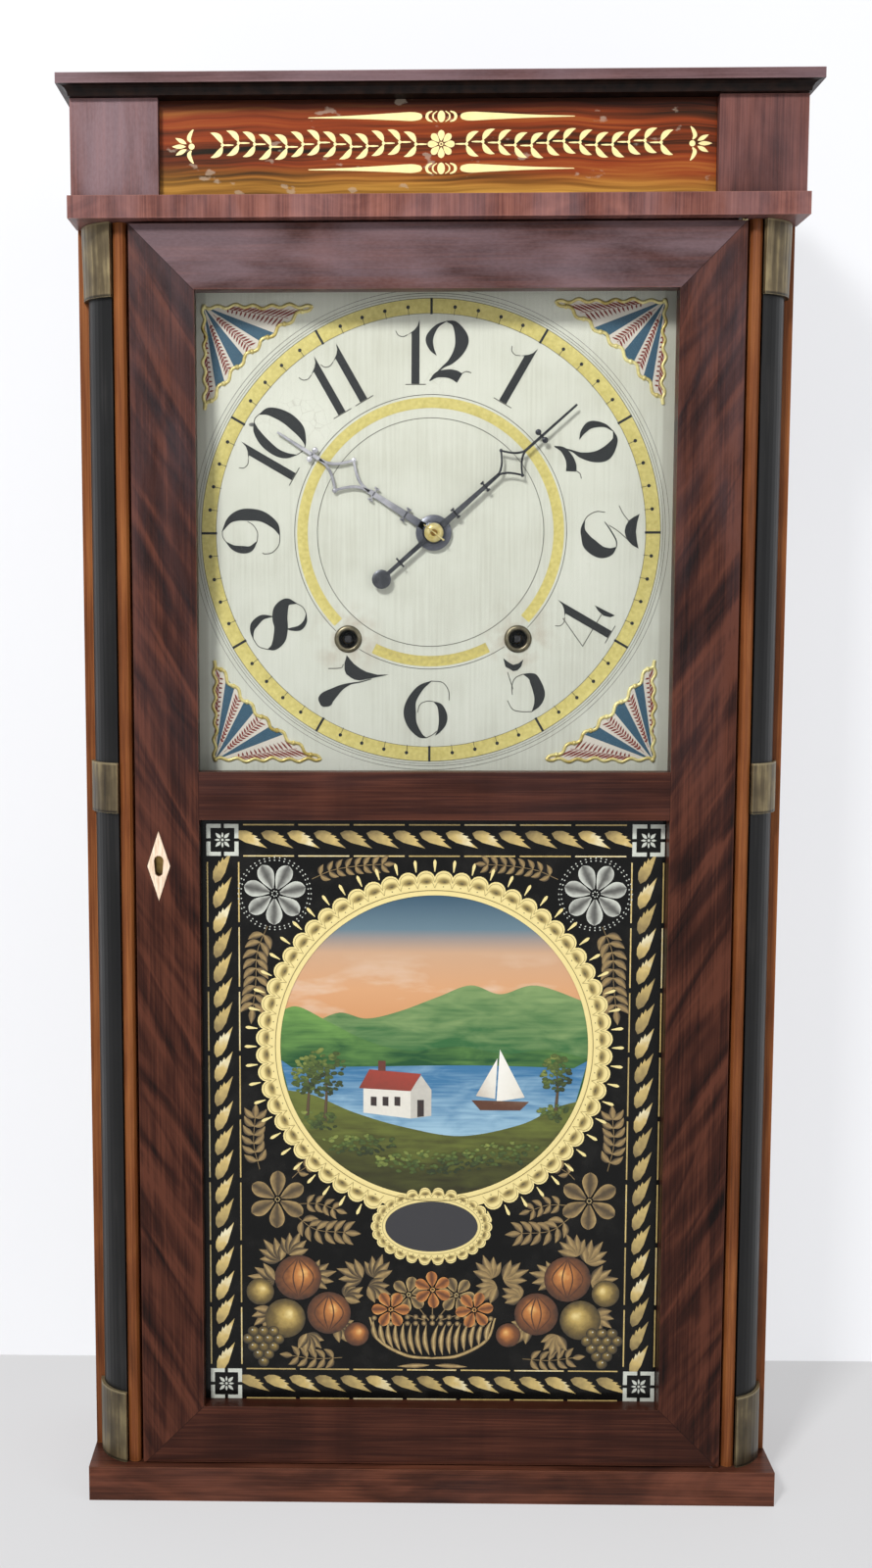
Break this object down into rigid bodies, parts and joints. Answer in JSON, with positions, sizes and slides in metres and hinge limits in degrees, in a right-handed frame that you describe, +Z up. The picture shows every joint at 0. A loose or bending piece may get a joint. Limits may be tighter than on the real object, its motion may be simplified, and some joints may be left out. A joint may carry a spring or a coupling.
{
  "type": "weight-driven shelf clock",
  "caption": "Tall mahogany shelf clock with black quarter-round sheet-iron columns, a glazed and painted door, a striking weight-driven movement and a pendulum.",
  "frame": {"origin": "middle of the footprint, on the surface the clock stands on", "axes": "+Z up, the door and dial face -Y, +X to the right as seen from the front"},
  "size_m": [0.4778, 0.1546, 0.94],
  "materials": {
    "mahogany": "polished crotch veneer",
    "edge_wood": "plain varnished mahogany",
    "pine": "bare pine",
    "black_iron": "satin black",
    "aged_brass": "dull, aged",
    "brass": "polished",
    "steel": "blued",
    "iron": "rough",
    "dial_paint": "painted white",
    "bone": "polished bone",
    "clear_glass": "clear",
    "tablet_paint": "painted on the back",
    "frieze_paint": "painted and grained",
    "cord": "twisted gut"
  },
  "bodies": {
    "case": {"base_board": "mahogany", "backboard": "pine", "side_panel_left": "edge_wood", "side_panel_right": "edge_wood", "column_post_left": "edge_wood", "column_post_right": "edge_wood", "stovepipe_column_left": "black_iron", "stovepipe_column_right": "black_iron", "capital_band_left": "aged_brass", "capital_band_right": "aged_brass", "middle_band_left": "aged_brass", "middle_band_right": "aged_brass", "base_band_left": "aged_brass", "base_band_right": "aged_brass", "waist_moulding": "mahogany", "frieze_block_left": "mahogany", "frieze_block_right": "mahogany", "frieze_tablet": "frieze_paint", "cornice": "mahogany", "dial": "dial_paint", "movement_front_frame": "brass", "movement_back_frame": "brass", "strike_bell": "brass", "hinge_pin_upper": "steel", "hinge_pin_lower": "steel", "pulley_board": "pine", "time_drum_cord": "cord", "strike_drum_cord": "cord", "time_weight_cord": "cord", "strike_weight_cord": "cord"},
    "door": {"door_frame": "mahogany", "dial_glass": "clear_glass", "tablet_glass": "tablet_paint", "escutcheon": "bone", "door_lock": "brass"},
    "bolt": {"lock_bolt": "steel"},
    "minute_arbor": {"centre_wheel": "brass", "minute_hand": "steel"},
    "hour_pipe": {"hour_wheel": "brass", "hour_hand": "steel"},
    "minute_wheel": {"minute_wheel": "brass"},
    "time_third_wheel": {"time_third_wheel": "brass"},
    "time_second_wheel": {"time_second_wheel": "brass"},
    "time_great_wheel": {"time_great_wheel": "brass"},
    "time_fourth_wheel": {"time_fourth_wheel": "brass"},
    "escape_wheel": {"escape_wheel": "brass"},
    "pendulum": {"verge": "steel", "pendulum_rod": "steel", "pendulum_bob": "brass"},
    "strike_pin_wheel": {"strike_pin_wheel": "brass"},
    "strike_great_wheel": {"strike_great_wheel": "brass"},
    "strike_third_wheel": {"strike_third_wheel": "brass"},
    "strike_fly": {"strike_fly": "brass"},
    "strike_hammer": {"strike_hammer": "iron"},
    "time_weight": {"time_weight": "iron"},
    "time_drum": {"time_drum": "brass"},
    "time_pulley": {"time_pulley": "edge_wood"},
    "strike_weight": {"strike_weight": "iron"},
    "strike_drum": {"strike_drum": "brass"},
    "strike_pulley": {"strike_pulley": "edge_wood"}
  },
  "joints": [
    {"name": "door_hinge", "type": "hinge", "parent": "case", "child": "door", "pos_m": [0.192, -0.0572, 0.45], "axis": [0, 0, 1], "range_deg": [0, 115]},
    {"name": "lock_bolt_slide", "type": "slide", "parent": "door", "child": "bolt", "axis": [-1, 0, 0], "range_m": [0, 0.006]},
    {"name": "minute_hand_spin", "type": "hinge", "parent": "case", "child": "minute_arbor", "pos_m": [0, -0.0147, 0.6574], "axis": [0, 1, 0], "continuous": true},
    {"name": "hour_hand_spin", "type": "hinge", "parent": "case", "child": "hour_pipe", "pos_m": [0, -0.0147, 0.6574], "axis": [0, 1, 0], "continuous": true},
    {"name": "minute_wheel_spin", "type": "hinge", "parent": "case", "child": "minute_wheel", "pos_m": [-0.01691, -0.0147, 0.65124], "axis": [0, 1, 0], "continuous": true},
    {"name": "time_third_spin", "type": "hinge", "parent": "case", "child": "time_third_wheel", "pos_m": [0.02551, -0.0147, 0.64468], "axis": [0, 1, 0], "continuous": true},
    {"name": "time_second_spin", "type": "hinge", "parent": "case", "child": "time_second_wheel", "pos_m": [0.04999, -0.0147, 0.62735], "axis": [0, 1, 0], "continuous": true},
    {"name": "time_great_spin", "type": "hinge", "parent": "case", "child": "time_great_wheel", "pos_m": [0.05646, -0.0147, 0.58737], "axis": [0, 1, 0], "continuous": true},
    {"name": "time_fourth_spin", "type": "hinge", "parent": "case", "child": "time_fourth_wheel", "pos_m": [0.0179, -0.0147, 0.67121], "axis": [0, 1, 0], "continuous": true},
    {"name": "escape_wheel_spin", "type": "hinge", "parent": "case", "child": "escape_wheel", "pos_m": [0, -0.0147, 0.68375], "axis": [0, 1, 0], "continuous": true},
    {"name": "pendulum_swing", "type": "hinge", "parent": "case", "child": "pendulum", "pos_m": [0, -0.0147, 0.70825], "axis": [0, 1, 0], "range_deg": [-3.5, 3.5]},
    {"name": "strike_pin_wheel_spin", "type": "hinge", "parent": "case", "child": "strike_pin_wheel", "pos_m": [-0.04999, -0.0147, 0.62735], "axis": [0, 1, 0], "continuous": true},
    {"name": "strike_great_spin", "type": "hinge", "parent": "case", "child": "strike_great_wheel", "pos_m": [-0.05646, -0.0147, 0.58737], "axis": [0, 1, 0], "continuous": true},
    {"name": "strike_third_spin", "type": "hinge", "parent": "case", "child": "strike_third_wheel", "pos_m": [-0.02551, -0.0147, 0.64468], "axis": [0, 1, 0], "continuous": true},
    {"name": "fly_spin", "type": "hinge", "parent": "case", "child": "strike_fly", "pos_m": [-0.03433, -0.0147, 0.66829], "axis": [0, 1, 0], "continuous": true},
    {"name": "hammer_lift", "type": "hinge", "parent": "case", "child": "strike_hammer", "pos_m": [-0.0798, -0.0147, 0.6214], "axis": [0, 1, 0], "range_deg": [0, 25]},
    {"name": "time_weight_slide", "type": "slide", "parent": "case", "child": "time_weight", "axis": [0, 0, 1], "range_m": [0, 0.59], "deforming": ["time_weight_cord"]},
    {"name": "time_drum_spin", "type": "hinge", "parent": "case", "child": "time_drum", "pos_m": [0.05646, -0.0147, 0.58737], "axis": [0, 1, 0], "range_deg": [0, 1955]},
    {"name": "time_pulley_spin", "type": "hinge", "parent": "case", "child": "time_pulley", "pos_m": [0.1878, 0.0173, 0.886], "axis": [0, 1, 0], "range_deg": [-2818, 0]},
    {"name": "strike_weight_slide", "type": "slide", "parent": "case", "child": "strike_weight", "axis": [0, 0, 1], "range_m": [0, 0.59], "deforming": ["strike_weight_cord"]},
    {"name": "strike_drum_spin", "type": "hinge", "parent": "case", "child": "strike_drum", "pos_m": [-0.05646, -0.0147, 0.58737], "axis": [0, 1, 0], "range_deg": [-1955, 0]},
    {"name": "strike_pulley_spin", "type": "hinge", "parent": "case", "child": "strike_pulley", "pos_m": [-0.1878, 0.0173, 0.886], "axis": [0, 1, 0], "range_deg": [0, 2818]}
  ],
  "couplings": [
    {"joint": "hour_hand_spin", "follows": "minute_hand_spin", "ratio": 0.083333},
    {"joint": "minute_wheel_spin", "follows": "minute_hand_spin", "ratio": -0.33333},
    {"joint": "time_third_spin", "follows": "minute_hand_spin", "ratio": -1.7143},
    {"joint": "time_second_spin", "follows": "minute_hand_spin", "ratio": 0.2449},
    {"joint": "time_great_spin", "follows": "minute_hand_spin", "ratio": -0.030612},
    {"joint": "time_fourth_spin", "follows": "minute_hand_spin", "ratio": 12},
    {"joint": "escape_wheel_spin", "follows": "minute_hand_spin", "ratio": -80},
    {"joint": "strike_great_spin", "follows": "strike_pin_wheel_spin", "ratio": -0.125},
    {"joint": "strike_third_spin", "follows": "strike_pin_wheel_spin", "ratio": -7},
    {"joint": "fly_spin", "follows": "strike_pin_wheel_spin", "ratio": 42},
    {"joint": "time_drum_spin", "follows": "time_weight_slide", "rad_per_m": 57.803},
    {"joint": "time_pulley_spin", "follows": "time_weight_slide", "rad_per_m": -83.333},
    {"joint": "strike_drum_spin", "follows": "strike_weight_slide", "rad_per_m": -57.803},
    {"joint": "strike_pulley_spin", "follows": "strike_weight_slide", "rad_per_m": 83.333}
  ]
}
